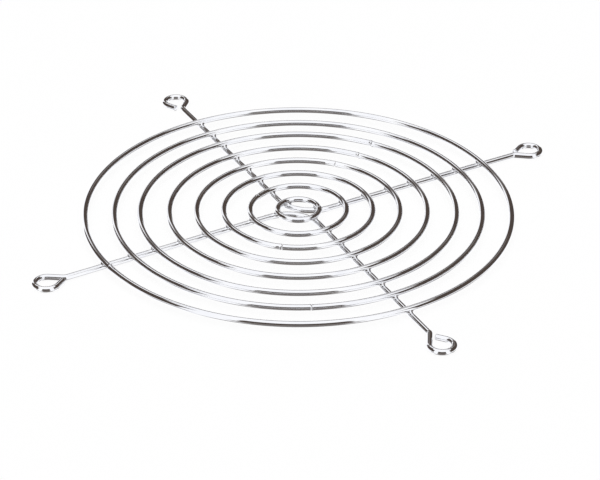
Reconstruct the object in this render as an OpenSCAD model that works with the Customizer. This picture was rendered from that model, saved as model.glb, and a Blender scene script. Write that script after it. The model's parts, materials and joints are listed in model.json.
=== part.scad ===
// Wire fan guard for a square fan: eight butt-welded rings, spot-welded on top of two bent
// support wires. Each support wire is one length: a wide bend at the hub, two straight arms,
// and at the end of each arm an eye for a fixing screw.
// The origin is the centre of the hole pattern, at the underside of the support wires.

/* [Rings] */
// Centreline diameter of the ring at the hub
hub_ring_d = 11.2; // [10.4:0.2:13]
// Centreline diameter of the second ring
ring_2_d = 26; // [24:0.2:29]
// Centreline diameter of the third ring
ring_3_d = 40.2; // [38:0.2:43]
// Centreline diameter of the fourth ring
ring_4_d = 54.8; // [52:0.2:58]
// Centreline diameter of the fifth ring
ring_5_d = 69.5; // [67:0.5:73]
// Centreline diameter of the sixth ring
ring_6_d = 85.2; // [82:0.2:88]
// Centreline diameter of the seventh ring
ring_7_d = 99.1; // [97:0.1:103]
// Centreline diameter of the outer ring
outer_ring_d = 114.8; // [112:0.2:118]
// Diameter of the wire that the rings are made of
ring_wire_d = 1.6; // [1.2:0.1:2]

/* [Support wires] */
// Diameter of the wire that the two supports are made of
support_wire_d = 1.6; // [1.2:0.1:2]
// Centreline radius of the bend at the hub
hub_bend_r = 9.7; // [8:0.1:12]
// How far behind the ring centre the bend of the back support lies
back_bend_reach = 2.4; // [1.4:0.1:3.2]
// How far in front of the ring centre the bend of the front support lies
front_bend_reach = 0.7; // [0.6:0.1:2.4]

/* [Eyes] */
// Distance between the fixing holes, in both directions
hole_spacing = 104.8; // [102:0.1:107]
// Diameter of the clear hole in an eye
eye_hole_d = 4.7; // [4.2:0.1:5.2]
// Depth of the land that the forming pin leaves round the inside of an eye
eye_land_depth = 0.05; // [0.02:0.01:0.1]
// Inside radius of the bend at the neck, where an arm turns aside for its eye
neck_inner_r = 1.2; // [0.4:0.1:2]
// Turn of that bend, back left eye
back_left_neck_turn = 42; // [28:1:50]
// Turn of that bend, back right eye
back_right_neck_turn = 38; // [28:1:50]
// Turn of that bend, front left eye
front_left_neck_turn = 36; // [28:1:50]
// Turn of that bend, front right eye
front_right_neck_turn = 30; // [28:1:50]
// Turn of the loop of an eye, before its straight cut end
loop_turn = 250; // [240:1:260]
// Gap between the cut end and the neck, back left eye
back_left_gap = 0.8; // [0.1:0.05:1.2]
// Gap between the cut end and the neck, back right eye
back_right_gap = 0.7; // [0.1:0.05:1.2]
// Gap between the cut end and the neck, front left eye
front_left_gap = 0.2; // [0.1:0.05:1.2]
// Gap between the cut end and the neck, front right eye
front_right_gap = 0.45; // [0.1:0.05:1.2]

/* [Welds] */
// How far each ring is pressed into the support wires at a weld
weld_set_down = 0.22; // [0.1:0.02:0.4]
// Diameter of the bead squeezed out round each weld
weld_bead_d = 1.5; // [1.3:0.1:1.7]
// How far the bead of a ring's own butt joint stands above its wire
butt_bead_height = 0.08; // [0.04:0.02:0.14]

/* [Hidden] */

WIRE_FACES = 40;    // sides of a wire's section
RING_FACES = 180;   // steps round a ring
BEND_FACES = 72;    // steps round a small bend
OVERRUN = 1;        // how far a cutter passes its work

// A support is built in stretches that stop just short of each other, and a ball a hair
// thicker than the wire closes every joint between them. The ball is rolled about the wire, so
// that its seam stays clear of theirs.
JOINT_GAP = 0.01;
JOINT_SWELL = 0.003;
JOINT_ROLL = 37;

RING_COLOUR = [0.82, 0.83, 0.85];
SUPPORT_COLOUR = [0.74, 0.75, 0.78];

ring_r = ring_wire_d / 2;
support_r = support_wire_d / 2;
support_z = support_r;
ring_z = support_wire_d + ring_r - weld_set_down;
weld_z = support_wire_d - weld_set_down / 2;

// Each ring is [centreline diameter, direction of its butt joint].
HUB = [hub_ring_d, 20];
RING_2 = [ring_2_d, 165];
RING_3 = [ring_3_d, -86];
RING_4 = [ring_4_d, 84];
RING_5 = [ring_5_d, 77];
RING_6 = [ring_6_d, 77];
RING_7 = [ring_7_d, -70];
OUTER = [outer_ring_d, -132];
RINGS = [HUB, RING_2, RING_3, RING_4, RING_5, RING_6, RING_7, OUTER];

// Each eye is [turn at the neck, gap at the cut end].
BACK_LEFT = [back_left_neck_turn, back_left_gap];
BACK_RIGHT = [back_right_neck_turn, back_right_gap];
FRONT_LEFT = [front_left_neck_turn, front_left_gap];
FRONT_RIGHT = [front_right_neck_turn, front_right_gap];

// An eye's own frame has its hole at the origin and its arm coming in along -X. The arm turns
// aside at the neck and runs straight into the loop, which it touches as a tangent.
eye_r = eye_hole_d / 2 - eye_land_depth + support_r;
neck_r = neck_inner_r + support_r;
function neck_length(turn) = ((neck_r + eye_r) * cos(turn) - neck_r) / sin(turn);
function neck_x(turn) = (neck_r + eye_r) * sin(turn) + neck_length(turn) * cos(turn);

// Straight length at the cut end that leaves the wanted gap between the end and the neck.
function tail_length(gap) =
    (gap - (eye_r - support_r) * (1 - cos(loop_turn))) / sin(loop_turn);

// The hub bend's centre lies on the Y axis, and each arm leaves it along a tangent that
// passes through the hole of its eye.
hole_at = hole_spacing / 2;
function bend_y(reach) = reach + hub_bend_r;
function hole_distance(reach) = norm([hole_at, hole_at - bend_y(reach)]);
function arm_angle(reach) =
    atan2(hole_at - bend_y(reach), hole_at) + asin(hub_bend_r / hole_distance(reach));
function arm_length(reach, eye) =
    sqrt(pow(hole_distance(reach), 2) - pow(hub_bend_r, 2)) - neck_x(eye[0]);

function tangent_point(reach) =
    let (a = arm_angle(reach))
    [hub_bend_r * sin(a), bend_y(reach) - hub_bend_r * cos(a)];

// Where a support's centreline passes a circle of radius r about the ring centre, on its +X side.
function bend_crossing(reach, r) =
    let (y = (pow(r, 2) - pow(hub_bend_r, 2) + pow(bend_y(reach), 2)) / (2 * bend_y(reach)))
    [sqrt(pow(r, 2) - pow(y, 2)), y];
function arm_crossing(reach, r) =
    let (start = tangent_point(reach),
         direction = [cos(arm_angle(reach)), sin(arm_angle(reach))],
         along = start * direction)
    start + direction * (sqrt(pow(along, 2) + pow(r, 2) - start * start) - along);
function crossing(reach, r) =
    r < norm(tangent_point(reach)) ? bend_crossing(reach, r) : arm_crossing(reach, r);

// The ball that joins two stretches of a support wire, where the wire runs along X.
module joint() {
    rotate([JOINT_ROLL, 0, 0])
        rotate([0, 90, 0])
            sphere(r = support_r + JOINT_SWELL, $fn = WIRE_FACES);
}

// A stretch of wire bent about the Z axis, from one angle on through a turn.
module bent_wire(bend_r, from, turn, steps) {
    short = asin(JOINT_GAP / bend_r);
    rotate([0, 0, from + short])
        rotate_extrude(angle = turn - 2 * short, $fn = steps)
            translate([bend_r, 0])
                circle(r = support_r, $fn = WIRE_FACES);
}

// A straight stretch of wire along +X that begins at a joint.
module straight_wire(length) {
    translate([JOINT_GAP, 0, 0])
        rotate([0, 90, 0])
            cylinder(h = length - JOINT_GAP, r = support_r, $fn = WIRE_FACES);
}

// One ring, with the small bead of its butt joint.
module ring(spec) {
    translate([0, 0, ring_z]) {
        rotate_extrude($fn = RING_FACES)
            translate([spec[0] / 2, 0])
                circle(r = ring_r, $fn = WIRE_FACES);
        rotate([90, 0, spec[1]])
            translate([spec[0] / 2, 0, 0])
                sphere(r = ring_r + butt_bead_height, $fn = WIRE_FACES);
    }
}

// An eye in its own frame: the neck's bend and straight, the loop and the straight cut end.
module eye(spec) {
    neck = spec[0];
    difference() {
        union() {
            translate([-neck_x(neck), 0])
                joint();
            translate([-neck_x(neck), -neck_r]) {
                bent_wire(neck_r, 90 - neck, neck, BEND_FACES);
                rotate([0, 0, -neck])
                    translate([0, neck_r]) {
                        joint();
                        straight_wire(neck_length(neck) - JOINT_GAP);
                    }
            }
            rotate([0, 0, 180 - neck])
                translate([0, eye_r])
                    joint();
            bent_wire(eye_r, 270 - neck, loop_turn, BEND_FACES);
            rotate([0, 0, 180 - neck + loop_turn])
                translate([0, eye_r]) {
                    joint();
                    mirror([1, 0, 0])
                        straight_wire(tail_length(spec[1]));
                }
        }
        cylinder(h = support_wire_d + 2 * OVERRUN, d = eye_hole_d, center = true, $fn = BEND_FACES);
    }
}

// An arm from the hub bend's tangent point out to its eye, on the right (side 1) or left (-1).
module arm(reach, side, spec) {
    a = arm_angle(reach);
    translate([0, bend_y(reach)])
        rotate([0, 0, side > 0 ? a : 180 - a])
            translate([0, -side * hub_bend_r]) {
                joint();
                straight_wire(arm_length(reach, spec) - JOINT_GAP);
                translate([arm_length(reach, spec) + neck_x(spec[0]), 0])
                    eye(spec);
            }
}

// A whole support wire as it lies at the back, with a bead at each of its welds.
module support(reach, right, left) {
    translate([0, 0, support_z]) {
        translate([0, bend_y(reach)])
            bent_wire(hub_bend_r, -90 - arm_angle(reach), 2 * arm_angle(reach), RING_FACES);
        arm(reach, 1, right);
        arm(reach, -1, left);
    }
    for (spec = RINGS, side = [-1, 1]) {
        at = crossing(reach, spec[0] / 2);
        translate([side * at[0], at[1], weld_z])
            sphere(d = weld_bead_d, $fn = WIRE_FACES);
    }
}

// The rings press their own shape into whatever they are welded to.
module pressed_by_rings() {
    difference() {
        children();
        for (spec = RINGS)
            ring(spec);
    }
}

module hub_ring() { color(RING_COLOUR) ring(HUB); }
module ring_2() { color(RING_COLOUR) ring(RING_2); }
module ring_3() { color(RING_COLOUR) ring(RING_3); }
module ring_4() { color(RING_COLOUR) ring(RING_4); }
module ring_5() { color(RING_COLOUR) ring(RING_5); }
module ring_6() { color(RING_COLOUR) ring(RING_6); }
module ring_7() { color(RING_COLOUR) ring(RING_7); }
module outer_ring() { color(RING_COLOUR) ring(OUTER); }

module back_support() {
    color(SUPPORT_COLOUR)
        pressed_by_rings()
            support(back_bend_reach, BACK_RIGHT, BACK_LEFT);
}

module front_support() {
    color(SUPPORT_COLOUR)
        pressed_by_rings()
            rotate([0, 0, 180])
                support(front_bend_reach, FRONT_LEFT, FRONT_RIGHT);
}

hub_ring();
ring_2();
ring_3();
ring_4();
ring_5();
ring_6();
ring_7();
outer_ring();
back_support();
front_support();
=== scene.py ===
"""Dresses the wire fan guard: bright plated rings, bent support wires with screw eyes, and their welds."""

import json
import math

import bmesh
import bpy
from mathutils import Matrix, Vector


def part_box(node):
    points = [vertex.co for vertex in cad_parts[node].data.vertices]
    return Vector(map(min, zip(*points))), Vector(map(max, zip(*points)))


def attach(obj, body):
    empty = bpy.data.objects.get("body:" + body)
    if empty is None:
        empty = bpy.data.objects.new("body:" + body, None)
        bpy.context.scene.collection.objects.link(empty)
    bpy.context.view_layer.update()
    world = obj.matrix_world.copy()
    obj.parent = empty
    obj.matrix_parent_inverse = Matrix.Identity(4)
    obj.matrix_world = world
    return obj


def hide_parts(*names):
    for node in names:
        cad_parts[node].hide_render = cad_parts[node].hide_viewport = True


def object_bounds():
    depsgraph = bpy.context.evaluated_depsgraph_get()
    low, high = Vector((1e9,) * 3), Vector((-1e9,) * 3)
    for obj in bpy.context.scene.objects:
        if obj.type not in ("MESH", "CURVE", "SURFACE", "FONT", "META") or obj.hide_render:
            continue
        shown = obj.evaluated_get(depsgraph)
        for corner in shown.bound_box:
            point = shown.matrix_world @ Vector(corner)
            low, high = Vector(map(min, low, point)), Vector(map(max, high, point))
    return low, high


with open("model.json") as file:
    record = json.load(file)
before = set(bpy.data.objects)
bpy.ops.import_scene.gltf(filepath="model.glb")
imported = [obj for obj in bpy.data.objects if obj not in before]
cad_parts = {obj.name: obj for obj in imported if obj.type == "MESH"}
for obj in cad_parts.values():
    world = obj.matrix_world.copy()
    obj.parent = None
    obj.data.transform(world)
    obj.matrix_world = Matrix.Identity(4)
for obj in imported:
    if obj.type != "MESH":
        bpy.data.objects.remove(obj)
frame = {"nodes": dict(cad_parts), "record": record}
cad_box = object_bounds()

MM = 0.001
UP = Vector((0, 0, 1))
MERGE = 0.002 * MM
FINE_MERGE = 0.0005 * MM

# Wire
WIRE_R = 0.8 * MM
SIDES = 36

# Hub bend and eyes of the support wires
HUB_BEND_R = 9.7 * MM
EYE_LOOP_R = 3.1 * MM
EYE_LOOP_TURN = math.radians(250)
NECK_R = 2.0 * MM
CUT_EDGE_R = 0.1 * MM
CUT_EDGE_SEGMENTS = 3
CUT_RIM_REACH = 1.2 * WIRE_R
BEND_STEPS = 140
NECK_STEPS = 16
LOOP_STEPS = 100
STRAIGHT_STEPS = 8
ARM_STEPS = 5

# The two eyes of each support, right and left as seen from the hub towards the support's own
# side: turn at the neck, and the gap between the cut end and the neck
EYES = {
    "back_support": ((38, 0.7 * MM), (42, 0.8 * MM)),
    "front_support": ((36, 0.2 * MM), (30, 0.45 * MM)),
}

# Welds between rings and support wires: the fillet's blend, how far from a ring and how high it
# may reach, the stretch of support that is finely divided for it, and how closely it is drawn
WELD_FILLET = 0.75 * MM
WELD_REACH = 2.2 * MM
WELD_RISE = 1.2 * MM
WELD_ZONE = 1.7 * MM
WELD_CUTS = 45
WELD_TOLERANCE = 0.002 * MM
WELD_HALVINGS = 12
UPPER_SIDE = 0.02
STEEP_SIDE = 0.3

# Direction of each ring's butt joint in degrees, and how proud, deep and stepped it is
BUTT_JOINTS = {
    "hub_ring": (20, 0.04 * MM, 0.05 * MM, 0.03 * MM),
    "ring_2": (165, 0.05 * MM, 0.08 * MM, 0.05 * MM),
    "ring_3": (-86, 0.06 * MM, 0.14 * MM, 0.10 * MM),
    "ring_4": (84, 0.03 * MM, 0.06 * MM, 0.04 * MM),
    "ring_5": (77, 0.05 * MM, 0.10 * MM, 0.06 * MM),
    "ring_6": (77, 0.07 * MM, 0.16 * MM, 0.10 * MM),
    "ring_7": (-70, 0.07 * MM, 0.16 * MM, 0.08 * MM),
    "outer_ring": (-132, 0.05 * MM, 0.20 * MM, 0.08 * MM),
}
SWELL_LENGTH = 0.5 * MM
NOTCH_LENGTH = 0.12 * MM
STEP_LENGTH = 1.6 * MM
STEP_EDGE = 0.1 * MM
STEP_RISE = 0.35

# How a ring is divided: the joint's arc to each side, and the spacing there and elsewhere
JOINT_ARC = 3 * MM
JOINT_SPACING = 0.12 * MM
RING_SPACING = 0.9 * MM
RING_SECTORS = 12
MIN_SECTOR_STEPS = 8

mounts = {m["name"]: m for m in frame["record"]["mounts"]}
HOLE_AT = mounts["fixing_holes"]["dims"]["spacing_x_mm"] / 2 * MM


# ---------------------------------------------------------------- geometry


def ring_radius(node):
    """Centreline radius of a ring, from its solid."""
    low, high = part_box(node)
    return (high.x - low.x) / 2 - WIRE_R


def ring_height(node):
    """Height of a ring's centreline, from its solid."""
    low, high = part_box(node)
    return (high.z + low.z) / 2


def finish_piece(bm, name, material, stands_for):
    """Turns a bmesh into a smooth piece that rides on the guard and stands for a solid."""
    bmesh.ops.remove_doubles(bm, verts=bm.verts, dist=FINE_MERGE)
    bmesh.ops.recalc_face_normals(bm, faces=bm.faces)
    mesh = bpy.data.meshes.new(name)
    bm.to_mesh(mesh)
    bm.free()
    mesh.polygons.foreach_set("use_smooth", [True] * len(mesh.polygons))
    mesh.materials.append(material)
    piece = bpy.data.objects.new(name, mesh)
    bpy.context.scene.collection.objects.link(piece)
    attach(piece, "root")
    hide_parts(stands_for)
    return piece


def turned(vector, angle):
    """A vector turned about the upright axis."""
    return Matrix.Rotation(angle, 3, UP) @ vector


def draw_stretch(bm, start, heading, steps, length=0.0, pivot=UP, angle=0.0):
    """Adds a stretch of wire, straight over a length or bent round a pivot, in a mesh of its own.

    Returns where the stretch ends and which way it heads there.
    """
    side = heading.cross(UP)
    square = Matrix((side, UP, heading)).transposed().to_4x4()
    part = bmesh.new()
    bmesh.ops.create_circle(
        part, segments=SIDES, radius=WIRE_R, matrix=Matrix.Translation(start) @ square
    )
    bmesh.ops.spin(
        part,
        geom=part.verts[:] + part.edges[:],
        cent=pivot,
        axis=UP,
        dvec=heading * (length / steps),
        angle=angle,
        steps=steps,
    )
    mesh = bpy.data.meshes.new("stretch")
    part.to_mesh(mesh)
    part.free()
    bm.from_mesh(mesh)
    bpy.data.meshes.remove(mesh)
    if angle:
        return pivot + turned(start - pivot, angle), turned(heading, angle)
    return start + heading * length, heading


# Rings


def shape_butt_joint(bm, radius, height, joint):
    """Works the swelling, the notch and the small step of a butt joint into a ring."""
    direction, swell, notch, step = joint
    at = math.radians(direction)
    for v in bm.verts:
        angle = math.atan2(v.co.y, v.co.x)
        s = radius * math.remainder(angle - at, math.tau)
        if abs(s) > JOINT_ARC:
            continue
        centre = Vector((math.cos(angle) * radius, math.sin(angle) * radius, height))
        outward = (v.co - centre).normalized()
        swelling = swell * math.exp(-((s / SWELL_LENGTH) ** 2))
        cut = notch * math.exp(-((s / NOTCH_LENGTH) ** 2))
        fade = math.exp(-abs(s) / STEP_LENGTH) * math.tanh(s / STEP_EDGE)
        shift = Vector((math.cos(angle), math.sin(angle), STEP_RISE)) * step * fade
        v.co += outward * (swelling - cut) + shift


def make_ring(node, material):
    """Draws a ring as its finely divided butt joint and the long way round."""
    radius, height = ring_radius(node), ring_height(node)
    joint = BUTT_JOINTS[node]
    at = math.radians(joint[0])
    span = JOINT_ARC / radius
    sector = (math.tau - 2 * span) / RING_SECTORS
    steps = max(MIN_SECTOR_STEPS, round(sector * radius / RING_SPACING))
    bm = bmesh.new()
    pivot = UP * height
    place = turned(Vector((radius, 0, 0)), at - span) + pivot
    heading = turned(Vector((0, 1, 0)), at - span)
    joint_steps = round(2 * JOINT_ARC / JOINT_SPACING)
    place, heading = draw_stretch(bm, place, heading, joint_steps, pivot=pivot, angle=2 * span)
    for _ in range(RING_SECTORS):
        place, heading = draw_stretch(bm, place, heading, steps, pivot=pivot, angle=sector)
    bmesh.ops.remove_doubles(bm, verts=bm.verts, dist=MERGE)
    shape_butt_joint(bm, radius, height, joint)
    return finish_piece(bm, node + "_wire", material, node)


# Supports


def support_plan(node):
    """Where a support wire's bend lies, and the direction and length of its arms to the hole."""
    low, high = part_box(node)
    reach = (low.y if node == "back_support" else -high.y) + WIRE_R
    bend_y = reach + HUB_BEND_R
    to_hole = Vector((HOLE_AT, HOLE_AT - bend_y, 0))
    angle = math.atan2(to_hole.y, to_hole.x) + math.asin(HUB_BEND_R / to_hole.length)
    return bend_y, angle, math.sqrt(to_hole.length**2 - HUB_BEND_R**2)


def neck_plan(turn):
    """Straight length of an eye's neck, and how far from the hole its bend begins."""
    across = NECK_R + EYE_LOOP_R
    straight = (across * math.cos(turn) - NECK_R) / math.sin(turn)
    return straight, across * math.sin(turn) + straight * math.cos(turn)


def tail_length(gap):
    """Length of the straight cut end that leaves the gap between the end and the neck."""
    inner = EYE_LOOP_R - WIRE_R
    return (gap - inner * (1 - math.cos(EYE_LOOP_TURN))) / math.sin(EYE_LOOP_TURN)


def draw_arm(bm, start, heading, length, rings):
    """Draws one straight arm, finely divided round each weld."""
    along0 = start.dot(heading)
    square = start.x**2 + start.y**2 - along0**2
    crossed = [ring_radius(r) for r in rings if ring_radius(r) ** 2 > square + along0**2]
    place = start
    at = 0.0
    for radius in sorted(crossed):
        mark = math.sqrt(radius**2 - square) - along0
        gap = mark - WELD_ZONE - at
        if gap > 0:
            place, _ = draw_stretch(bm, place, heading, ARM_STEPS, length=gap)
            at += gap
        zone = mark + WELD_ZONE - at
        place, _ = draw_stretch(bm, place, heading, WELD_CUTS, length=zone)
        at += zone
    return draw_stretch(bm, place, heading, ARM_STEPS, length=length - at)[0]


def draw_eye(bm, neck_at, heading, hole, turn, gap):
    """Neck, loop and straight cut end of one eye round its hole."""
    neck = {"pivot": neck_at + heading.cross(UP) * NECK_R, "angle": -turn}
    loop = {"pivot": hole, "angle": EYE_LOOP_TURN}
    neck_straight, _ = neck_plan(turn)
    tail = tail_length(gap)
    place, heading = draw_stretch(bm, neck_at, heading, NECK_STEPS, **neck)
    place, heading = draw_stretch(bm, place, heading, STRAIGHT_STEPS, length=neck_straight)
    place, heading = draw_stretch(bm, place, heading, LOOP_STEPS, **loop)
    place, heading = draw_stretch(bm, place, heading, STRAIGHT_STEPS, length=tail)
    bmesh.ops.remove_doubles(bm, verts=bm.verts, dist=MERGE)
    rim = [
        e
        for e in bm.edges
        if e.is_boundary and all((v.co - place).length < CUT_RIM_REACH for v in e.verts)
    ]
    bmesh.ops.contextual_create(bm, geom=rim)
    bmesh.ops.bevel(
        bm,
        geom=rim,
        offset=CUT_EDGE_R,
        affect="EDGES",
        segments=CUT_EDGE_SEGMENTS,
        profile=0.5,
        material=-1,
    )


def smooth_union(a, b, blend):
    """The smaller of two distances, rounded off where they are nearly equal."""
    share = max(blend - abs(a - b), 0) / blend
    return min(a, b) - share * share * blend / 4


def raise_welds(bm, rings):
    """Moves the top of a support wire up into a fillet along every ring that it carries."""
    sizes = [(ring_radius(r), ring_height(r)) for r in rings]
    bm.normal_update()
    for v in bm.verts:
        flat = math.hypot(v.co.x, v.co.y)
        radius, height = min(sizes, key=lambda s: abs(s[0] - flat))
        if abs(flat - radius) > WELD_REACH or v.normal.z < UPPER_SIDE:
            continue
        to_centre = (height - v.co.z) / max(v.normal.z, STEEP_SIDE)
        low, high = 0.0, min(to_centre, WELD_RISE)

        def outside(travel):
            p = v.co + v.normal * travel
            to_ring = math.hypot(math.hypot(p.x, p.y) - radius, p.z - height) - WIRE_R
            return smooth_union(to_ring, travel, WELD_FILLET) >= 0

        if outside(WELD_TOLERANCE):
            continue
        for _ in range(WELD_HALVINGS):
            middle = (low + high) / 2
            low, high = (low, middle) if outside(middle) else (middle, high)
        v.co += v.normal * low


def make_support(node, rings, material):
    """Draws a support from the middle of its hub bend outwards, one arm and eye at a time."""
    bend_y, angle, length = support_plan(node)
    bend_centre = Vector((0, bend_y, WIRE_R))
    bottom = bend_centre - Vector((0, HUB_BEND_R, 0))
    bm = bmesh.new()
    for side, (neck_turn, gap) in zip((1, -1), EYES[node]):
        turn = math.radians(neck_turn)
        bend = {"pivot": bend_centre, "angle": side * angle}
        place, heading = draw_stretch(bm, bottom, Vector((side, 0, 0)), BEND_STEPS, **bend)
        hole = place + heading * length
        place = draw_arm(bm, place, heading, length - neck_plan(turn)[1], rings)
        draw_eye(bm, place, heading, hole, turn, gap)
    bmesh.ops.remove_doubles(bm, verts=bm.verts, dist=MERGE)
    bmesh.ops.recalc_face_normals(bm, faces=bm.faces)
    if node == "front_support":
        bmesh.ops.rotate(
            bm, verts=bm.verts, cent=(0, 0, 0), matrix=Matrix.Rotation(math.pi, 3, UP)
        )
    raise_welds(bm, rings)
    return finish_piece(bm, node + "_wire", material, node)


# ---------------------------------------------------------------- materials

# Plating: scale and detail of the haze and of the waviness, scale, size and rarity of the pits,
# how rough a pit is, the two tints with their places in the haze, and the depth of the relief
HAZE_SCALE = 140
HAZE_DETAIL = 3
WAVE_SCALE = 420
WAVE_DETAIL = 1
PIT_SCALE = 1400
PIT_SIZE = 0.16
PIT_RARITY = 0.86
PIT_ROUGHNESS = 0.5
TINTS = ((0.3, (0.79, 0.80, 0.83, 1)), (0.7, (0.86, 0.865, 0.87, 1)))
RELIEF_STRENGTH = 0.5
RELIEF_DEPTH = 0.01 * MM


class Shader:
    """A node tree with short calls to add and join its nodes."""

    def __init__(self, tree):
        self.tree = tree

    def add(self, kind, **settings):
        node = self.tree.nodes.new(kind)
        for key, value in settings.items():
            setattr(node, key, value)
        return node

    def join(self, source, target):
        self.tree.links.new(source, target)

    def math(self, operation, *values, clamp=False):
        node = self.add("ShaderNodeMath", operation=operation, use_clamp=clamp)
        for socket, value in zip(node.inputs, values):
            if isinstance(value, bpy.types.NodeSocket):
                self.join(value, socket)
            else:
                socket.default_value = value
        return node.outputs[0]

    def red(self, colour):
        """The red part of a colour, as one number."""
        split = self.add("ShaderNodeSeparateColor")
        self.join(colour, split.inputs[0])
        return split.outputs[0]


def plating_group():
    """Wear and grain of bright plating over Object coordinates: haze, waviness and fine pits."""
    group = bpy.data.node_groups.new("bright_plating", "ShaderNodeTree")
    face = group.interface
    for name, value in (
        ("Haze", 0.03),
        ("Waviness", 0.3),
        ("Pits", 0.1),
        ("Seed", 0.0),
    ):
        socket = face.new_socket(name, in_out="INPUT", socket_type="NodeSocketFloat")
        socket.default_value = value
    face.new_socket("Tint", in_out="OUTPUT", socket_type="NodeSocketColor")
    face.new_socket("Roughness", in_out="OUTPUT", socket_type="NodeSocketFloat")
    face.new_socket("Height", in_out="OUTPUT", socket_type="NodeSocketFloat")
    s = Shader(group)
    source = s.add("NodeGroupInput").outputs
    out = s.add("NodeGroupOutput").inputs
    place = s.add("ShaderNodeTexCoord").outputs["Object"]

    cloud = s.add("ShaderNodeTexNoise", noise_dimensions="4D")
    cloud.inputs["Scale"].default_value = HAZE_SCALE
    cloud.inputs["Detail"].default_value = HAZE_DETAIL
    s.join(place, cloud.inputs["Vector"])
    s.join(source["Seed"], cloud.inputs["W"])
    wave = s.add("ShaderNodeTexNoise", noise_dimensions="4D")
    wave.inputs["Scale"].default_value = WAVE_SCALE
    wave.inputs["Detail"].default_value = WAVE_DETAIL
    s.join(place, wave.inputs["Vector"])
    s.join(source["Seed"], wave.inputs["W"])
    pit = s.add("ShaderNodeTexVoronoi", voronoi_dimensions="3D")
    pit.inputs["Scale"].default_value = PIT_SCALE
    s.join(place, pit.inputs["Vector"])
    deep = s.math("LESS_THAN", pit.outputs["Distance"], PIT_SIZE)
    rare = s.math("GREATER_THAN", s.red(pit.outputs["Color"]), PIT_RARITY)
    pits = s.math("MULTIPLY", s.math("MULTIPLY", deep, rare), source["Pits"])

    haze = s.math("MULTIPLY", cloud.outputs[0], source["Haze"])
    rough_pits = s.math("MULTIPLY", pits, PIT_ROUGHNESS)
    s.join(s.math("ADD", haze, rough_pits), out["Roughness"])
    waves = s.math("MULTIPLY", wave.outputs[0], source["Waviness"])
    s.join(s.math("SUBTRACT", waves, pits), out["Height"])
    tint = s.add("ShaderNodeValToRGB")
    for stop, (position, colour) in zip(tint.color_ramp.elements, TINTS):
        stop.position = position
        stop.color = colour
    s.join(cloud.outputs[0], tint.inputs[0])
    s.join(tint.outputs[0], out["Tint"])
    return group


def plated_wire(name, group, haze, waviness, pits, seed):
    """Bright plating over wire, worn as the numbers say."""
    material = bpy.data.materials.new(name)
    material.use_nodes = True
    s = Shader(material.node_tree)
    shader = material.node_tree.nodes["Principled BSDF"]
    shader.inputs["Metallic"].default_value = 1
    wear = s.add("ShaderNodeGroup", node_tree=group)
    for key, value in (
        ("Haze", haze),
        ("Waviness", waviness),
        ("Pits", pits),
        ("Seed", seed),
    ):
        wear.inputs[key].default_value = value
    bump = s.add("ShaderNodeBump")
    bump.inputs["Strength"].default_value = RELIEF_STRENGTH
    bump.inputs["Distance"].default_value = RELIEF_DEPTH
    s.join(wear.outputs["Tint"], shader.inputs["Base Color"])
    s.join(wear.outputs["Roughness"], shader.inputs["Roughness"])
    s.join(wear.outputs["Height"], bump.inputs["Height"])
    s.join(bump.outputs[0], shader.inputs["Normal"])
    return material


# ---------------------------------------------------------------- studio

# Camera: direction in degrees, distance, and what it looks at
VIEW_AZIMUTH = 16.1
VIEW_ELEVATION = 30.704
VIEW_ROLL = 0.128
VIEW_DISTANCE = 689.2 * MM
VIEW_TARGET = Vector((4.92 * MM, -15.29 * MM, 2.18 * MM))
LENS = 156.43
SENSOR_WIDTH = 36
NEAR_CLIP = 0.01
FAR_CLIP = 20

# Table: its size, how far it is below the wires, and the share of its white that comes from the
# light on it and so can be in shadow. The rest glows, and makes up for the dark parts of the studio.
TABLE_R = 6.0
TABLE_SIDES = 64
TABLE_GAP = 0.01 * MM
TABLE_SHADE = 0.12
TABLE_LIGHT = 0.7


def add_camera():
    """The camera, turned towards its target and rolled by a hair."""
    camera = bpy.data.objects.new("camera", bpy.data.cameras.new("camera"))
    bpy.context.scene.collection.objects.link(camera)
    azimuth, elevation = math.radians(VIEW_AZIMUTH), math.radians(VIEW_ELEVATION)
    back = Vector(
        (
            math.sin(azimuth) * math.cos(elevation),
            -math.cos(azimuth) * math.cos(elevation),
            math.sin(elevation),
        )
    )
    camera.location = VIEW_TARGET + back * VIEW_DISTANCE
    level = (-back).to_track_quat("-Z", "Y").to_matrix().to_4x4()
    roll = Matrix.Rotation(math.radians(VIEW_ROLL), 4, "Z")
    camera.rotation_euler = (level @ roll).to_euler()
    camera.data.sensor_width = SENSOR_WIDTH
    camera.data.lens = LENS
    camera.data.clip_start = NEAR_CLIP
    camera.data.clip_end = FAR_CLIP
    bpy.context.scene.camera = camera


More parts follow.
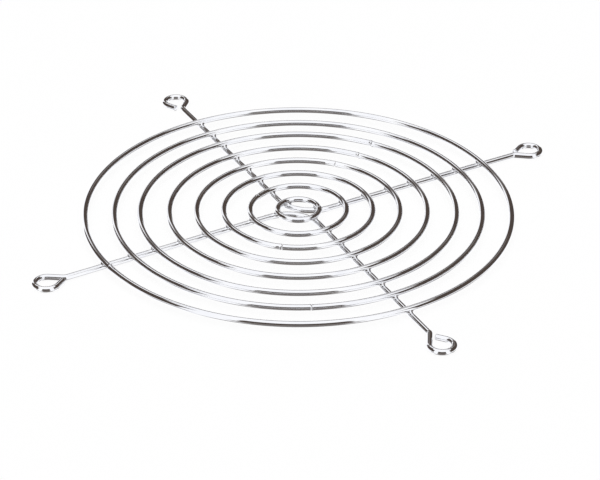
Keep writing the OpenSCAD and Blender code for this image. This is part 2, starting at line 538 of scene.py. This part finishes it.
def patch_group():
    """Mask of one patch of the studio, in degrees seen from the guard, with a sloping top edge."""
    group = bpy.data.node_groups.new("wall_patch", "ShaderNodeTree")
    face = group.interface
    names = ("Azimuth", "Elevation", "Centre", "Half width", "Low", "High", "Slope", "Soft")
    for name in names:
        face.new_socket(name, in_out="INPUT", socket_type="NodeSocketFloat")
    face.new_socket("Mask", in_out="OUTPUT", socket_type="NodeSocketFloat")
    s = Shader(group)
    source = s.add("NodeGroupInput").outputs
    out = s.add("NodeGroupOutput").inputs

    def ramp(value, low, high):
        node = s.add("ShaderNodeMapRange", interpolation_type="SMOOTHSTEP")
        s.join(value, node.inputs["Value"])
        s.join(low, node.inputs["From Min"])
        s.join(high, node.inputs["From Max"])
        return node.outputs[0]

    off = s.math("WRAP", s.math("SUBTRACT", source["Azimuth"], source["Centre"]), 180, -180)
    inside = s.math("SUBTRACT", source["Half width"], s.math("ABSOLUTE", off))
    top = s.math("ADD", source["High"], s.math("MULTIPLY", off, source["Slope"]))
    half = s.math("MULTIPLY", source["Soft"], 0.5)
    minus = s.math("MULTIPLY", half, -1)
    across = ramp(inside, minus, half)
    above = ramp(s.math("SUBTRACT", source["Elevation"], source["Low"]), minus, half)
    below = ramp(s.math("SUBTRACT", top, source["Elevation"]), minus, half)
    s.join(s.math("MULTIPLY", s.math("MULTIPLY", across, above), below), out["Mask"])
    return group


# Patches of the studio, each laid over those before it: centre and half width in azimuth, low
# and high edge, slope of the high edge, softness, colour. Azimuth 0 is straight away from the
# camera and 90 is to its right. The white table mirrors the studio, so patches go below 0.
LIGHT = (1.15, 1.15, 1.17)
DARK = (0.085, 0.066, 0.057)
GREY = (0.2, 0.18, 0.17)
DIM = (0.15, 0.13, 0.12)
# The nadir patch is painted shade: the wires' own shadow on the table right under them.
NADIR_SHADE = (0.14, 0.12, 0.11)
PATCHES = [
    (-81, 39, -12, 54, 0.25, 4, DARK),
    (70, 51, -14, 55, -0.2, 4, DARK),
    (-4, 38, 32, 40, 0, 4, GREY),
    (3, 30, 13, 33, 0, 4, DARK),
    (181, 28, -15, 38, 0, 3, DARK),
    (181, 34, -64, -15, 0, 6, GREY),
    (180, 190, -100, -66, 0, 10, NADIR_SHADE),
    (-106, 14, -42, -28, 0, 4, DARK),
    (80, 34, -50, -35, 0, 4, DIM),
]


def add_world():
    """The studio that the wires mirror. The camera itself sees plain white."""
    world = bpy.data.worlds.new("studio")
    bpy.context.scene.world = world
    world.use_nodes = True
    s = Shader(world.node_tree)
    back = world.node_tree.nodes["Background"]
    direction = s.add("ShaderNodeTexCoord").outputs["Generated"]
    turn = s.add("ShaderNodeVectorRotate", rotation_type="Z_AXIS")
    turn.inputs["Angle"].default_value = -math.radians(VIEW_AZIMUTH)
    s.join(direction, turn.inputs["Vector"])
    axes = s.add("ShaderNodeSeparateXYZ")
    s.join(turn.outputs[0], axes.inputs[0])
    azimuth = s.math("DEGREES", s.math("ARCTAN2", axes.outputs["X"], axes.outputs["Y"]))
    elevation = s.math("DEGREES", s.math("ARCSINE", axes.outputs["Z"]))
    group = patch_group()
    colour = s.add("ShaderNodeRGB")
    colour.outputs[0].default_value = (*LIGHT, 1)
    colour = colour.outputs[0]
    for centre, half, low, high, slope, soft, level in PATCHES:
        patch = s.add("ShaderNodeGroup", node_tree=group)
        s.join(azimuth, patch.inputs["Azimuth"])
        s.join(elevation, patch.inputs["Elevation"])
        for key, value in (
            ("Centre", centre),
            ("Half width", half),
            ("Low", low),
            ("High", high),
            ("Slope", slope),
            ("Soft", soft),
        ):
            patch.inputs[key].default_value = value
        mix = s.add("ShaderNodeMix", data_type="RGBA")
        s.join(patch.outputs[0], mix.inputs["Factor"])
        s.join(colour, mix.inputs["A"])
        mix.inputs["B"].default_value = (*level, 1)
        colour = mix.outputs["Result"]
    seen = s.add("ShaderNodeLightPath").outputs["Is Camera Ray"]
    white = s.add("ShaderNodeMix", data_type="RGBA")
    s.join(seen, white.inputs["Factor"])
    s.join(colour, white.inputs["A"])
    white.inputs["B"].default_value = (1, 1, 1, 1)
    s.join(white.outputs["Result"], back.inputs["Color"])


def add_floor():
    """White table that the guard lies on, with the soft shadow of the wires.

    The wires look through it into the studio, whose lower half stands for what it mirrors, with painted
    shade at the nadir for the wires' own shadow on it.
    """
    bm = bmesh.new()
    bmesh.ops.create_circle(bm, cap_ends=True, segments=TABLE_SIDES, radius=TABLE_R)
    mesh = bpy.data.meshes.new("table")
    bm.to_mesh(mesh)
    bm.free()
    table = bpy.data.objects.new("table", mesh)
    table.location.z = cad_box[0].z - TABLE_GAP
    bpy.context.scene.collection.objects.link(table)
    material = bpy.data.materials.new("white_table")
    material.use_nodes = True
    s = Shader(material.node_tree)
    material.node_tree.nodes.remove(material.node_tree.nodes["Principled BSDF"])
    out = material.node_tree.nodes["Material Output"]
    path = s.add("ShaderNodeLightPath")
    diffuse = s.add("ShaderNodeBsdfDiffuse")
    diffuse.inputs["Color"].default_value = (TABLE_SHADE, TABLE_SHADE, TABLE_SHADE, 1)
    glow = s.add("ShaderNodeEmission")
    glow.inputs["Strength"].default_value = 1 - TABLE_LIGHT * TABLE_SHADE
    lit = s.add("ShaderNodeAddShader")
    s.join(diffuse.outputs[0], lit.inputs[0])
    s.join(glow.outputs[0], lit.inputs[1])
    clear = s.add("ShaderNodeBsdfTransparent")
    shown = s.add("ShaderNodeMixShader")
    s.join(path.outputs["Is Glossy Ray"], shown.inputs[0])
    s.join(lit.outputs[0], shown.inputs[1])
    s.join(clear.outputs[0], shown.inputs[2])
    s.join(shown.outputs[0], out.inputs["Surface"])
    mesh.materials.append(material)


# ---------------------------------------------------------------- the guard

RINGS = [n for n in frame["nodes"] if n.endswith("ring") or n.startswith("ring_")]
plating = plating_group()
ring_plating = plated_wire(
    "ring_plating", plating, haze=0.05, waviness=0.25, pits=0.15, seed=1.0
)
support_plating = plated_wire(
    "support_plating", plating, haze=0.06, waviness=0.35, pits=0.2, seed=2.0
)

for node in RINGS:
    make_ring(node, ring_plating)
for node in ("back_support", "front_support"):
    make_support(node, RINGS, support_plating)

add_floor()
add_world()
add_camera()
bpy.context.scene.view_settings.view_transform = "Standard"
